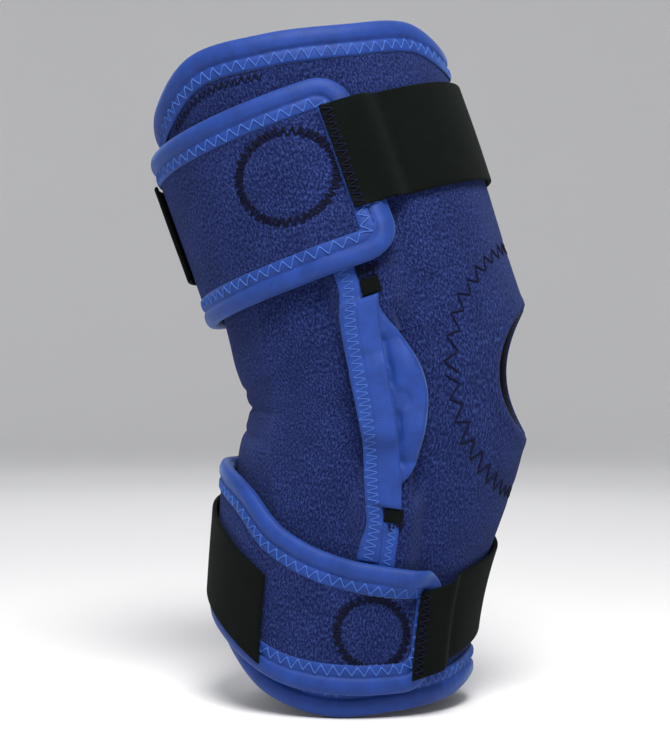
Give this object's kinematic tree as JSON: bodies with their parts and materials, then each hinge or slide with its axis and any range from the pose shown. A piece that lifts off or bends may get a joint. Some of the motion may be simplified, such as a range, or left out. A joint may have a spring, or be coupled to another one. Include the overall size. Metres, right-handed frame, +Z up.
{
  "type": "hinged knee support",
  "caption": "Soft wrap-around knee support with an open patella, a hinged stay in a pocket on each side, and closing wings whose straps wrap round the leg and fasten back on themselves.",
  "frame": {"origin": "on the axis of both hinges, midway between them, inside the knee", "axes": "+Z up the leg, +X to the front of the knee, -Y to the side with the bound edge tape; the hinge axis is Y"},
  "size_m": [0.1421, 0.1172, 0.2493],
  "materials": {
    "loop_neoprene": "brushed loop-faced neoprene, heathered navy",
    "stretch_binding": "smooth matt stretch binding, royal blue",
    "stretch_cover": "smooth stretch jersey, royal blue",
    "strap_webbing": "matt black brushed strap",
    "hook_tape": "black hook tape",
    "dark_thread": "navy sewing thread",
    "light_thread": "light blue sewing thread",
    "arm_aluminium": "brushed aluminium",
    "cap_plastic": "black moulded plastic",
    "rivet_steel": "plated steel",
    "washer_nylon": "natural nylon"
  },
  "bodies": {
    "thigh": {"thigh_sleeve": "loop_neoprene", "knee_sleeve": "loop_neoprene", "patella_ring": "dark_thread", "top_binding": "stretch_binding", "edge_tape": "stretch_binding", "upper_wing": "loop_neoprene", "upper_wing_binding": "stretch_binding", "upper_hook_patch": "hook_tape", "upper_strap": "strap_webbing", "near_hinge_cover": "stretch_cover", "near_upper_channel": "loop_neoprene", "near_upper_arm": "arm_aluminium", "near_hinge_cap": "cap_plastic", "near_hinge_base": "cap_plastic", "near_rivet": "rivet_steel", "near_washer": "washer_nylon", "near_stop_pin": "rivet_steel", "far_hinge_cover": "stretch_cover", "far_upper_channel": "loop_neoprene", "far_upper_arm": "arm_aluminium", "far_hinge_cap": "cap_plastic", "far_hinge_base": "cap_plastic", "far_rivet": "rivet_steel", "far_washer": "washer_nylon", "far_stop_pin": "rivet_steel", "upper_pocket_tabs": "strap_webbing"},
    "shin": {"shin_sleeve": "loop_neoprene", "bottom_binding": "stretch_binding", "lower_wing": "loop_neoprene", "lower_wing_binding": "stretch_binding", "lower_hook_patch": "hook_tape", "lower_strap": "strap_webbing", "near_lower_channel": "loop_neoprene", "far_lower_channel": "loop_neoprene", "near_lower_arm": "arm_aluminium", "far_lower_arm": "arm_aluminium", "lower_pocket_tabs": "strap_webbing"},
    "upper_tab": {"upper_tab": "strap_webbing"},
    "lower_tab": {"lower_tab": "strap_webbing"}
  },
  "joints": [
    {"name": "knee_flexion", "type": "hinge", "parent": "thigh", "child": "shin", "pos_m": [0, 0, 0], "axis": [0, 1, 0], "range_deg": [-26.5, 60], "deforming": ["knee_sleeve", "patella_ring", "edge_tape", "near_hinge_cover", "far_hinge_cover", "upper_wing", "upper_wing_binding", "lower_wing", "lower_wing_binding"]},
    {"name": "upper_tab_peel", "type": "hinge", "parent": "thigh", "child": "upper_tab", "pos_m": [-0.08454, 0.02265, 0.062], "axis": [0.3455, -0.0065, -0.9384], "range_deg": [0, 75]},
    {"name": "lower_tab_peel", "type": "hinge", "parent": "shin", "child": "lower_tab", "pos_m": [-0.06628, -0.02867, -0.06407], "axis": [-0.084, 0.0326, -0.9959], "range_deg": [0, 75]}
  ]
}
